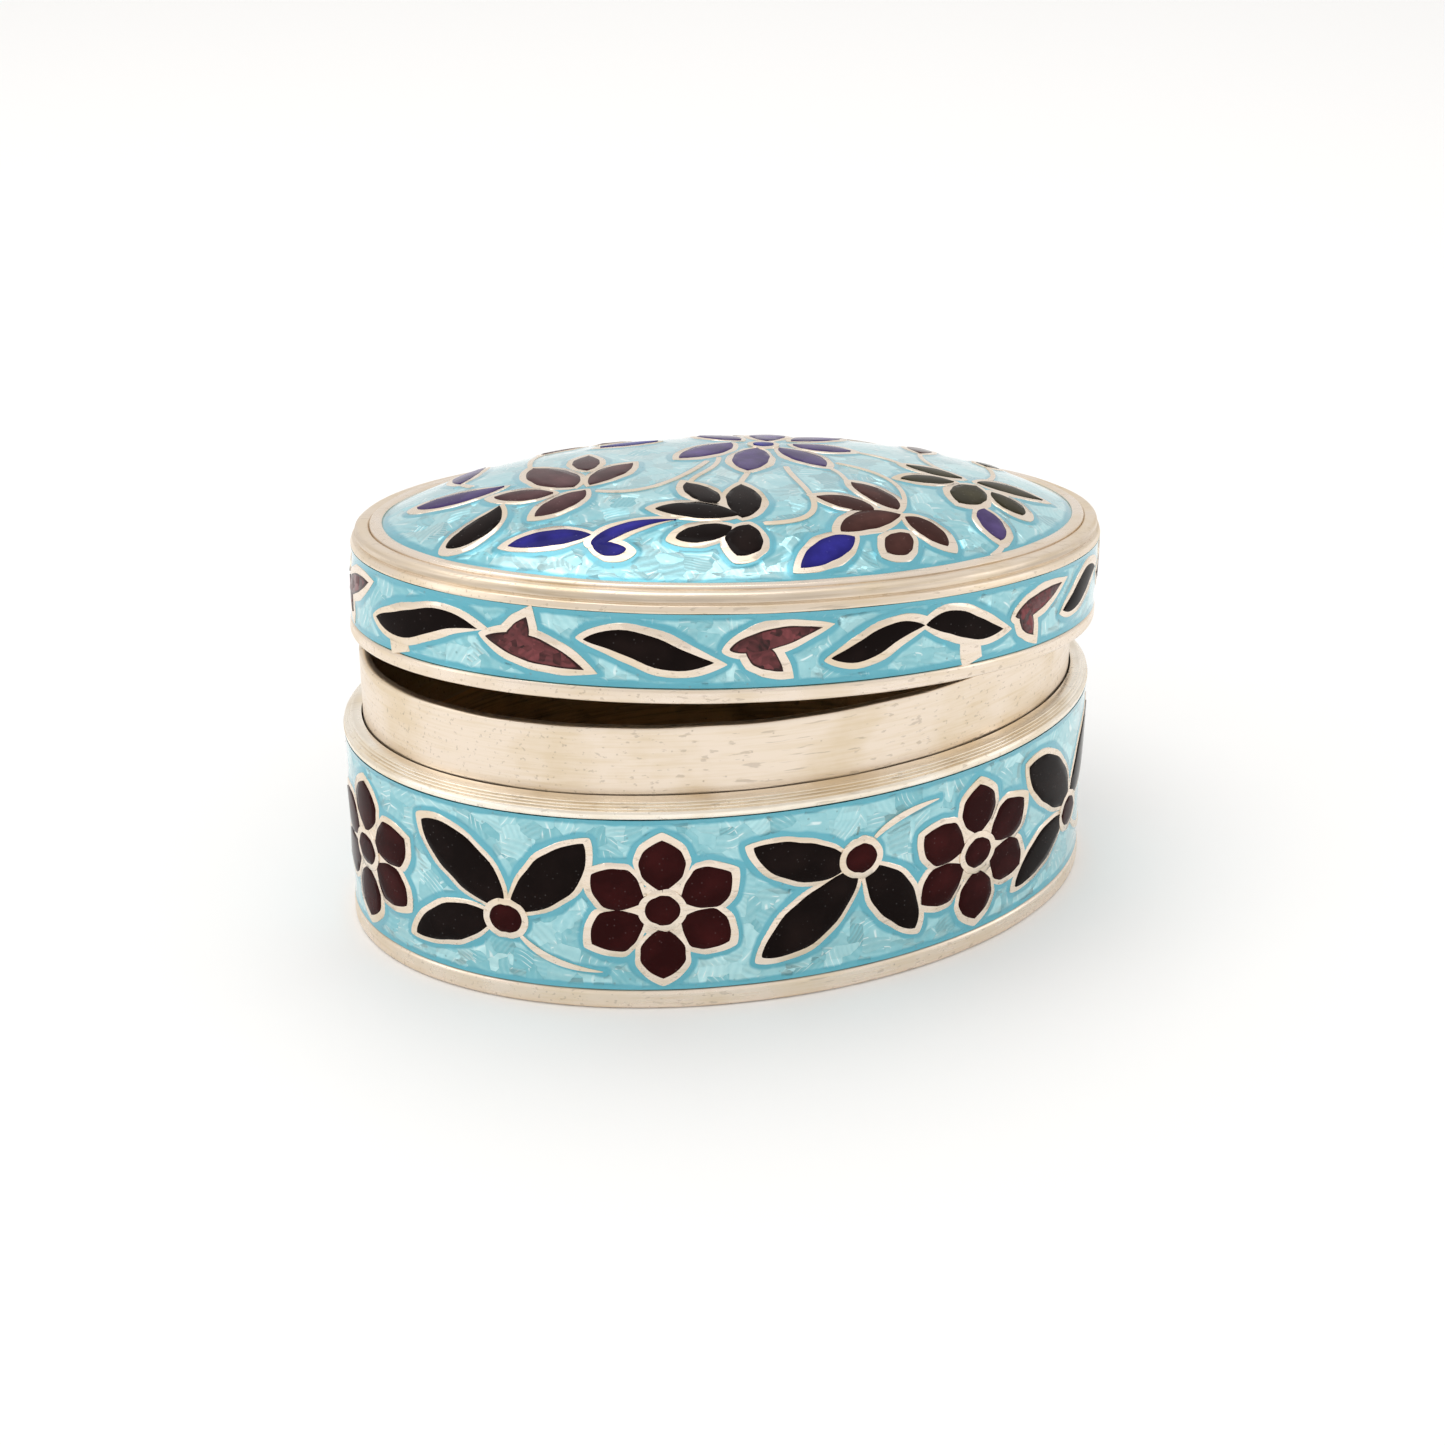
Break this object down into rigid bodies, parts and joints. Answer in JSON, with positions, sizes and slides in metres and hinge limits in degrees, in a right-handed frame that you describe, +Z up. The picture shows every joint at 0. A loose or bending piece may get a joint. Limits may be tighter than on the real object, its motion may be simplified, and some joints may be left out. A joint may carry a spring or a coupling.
{
  "type": "pill box",
  "caption": "Small oval silver pill box with flower-patterned turquoise enamel round its sides, a domed enamelled lift-off lid and a plain inner collar.",
  "frame": {"origin": "middle of the flat underside of the base", "axes": "+X along the oval's long axis, -Y to the front, +Z up through the lid"},
  "size_m": [0.0459, 0.0319, 0.0265],
  "materials": {
    "silver": "hand-polished silver with fine wear",
    "worn_silver": "rubbed, slightly tarnished silver",
    "turquoise_enamel": "glossy translucent enamel fired on metal"
  },
  "bodies": {
    "base": {"base_floor": "worn_silver", "base_foot_rim": "silver", "base_side_band": "silver", "base_side_enamel": "turquoise_enamel", "base_shoulder": "silver", "base_collar": "worn_silver"},
    "lid": {"lid_edge_rim": "silver", "lid_side_band": "silver", "lid_side_enamel": "turquoise_enamel", "lid_outer_bead": "silver", "lid_inner_bead": "silver", "lid_dome_plate": "silver", "lid_dome_enamel": "turquoise_enamel"}
  },
  "joints": [
    {"name": "lid_lift", "type": "slide", "parent": "base", "child": "lid", "axis": [0, 0, 1], "range_m": [0, 0.03]}
  ]
}
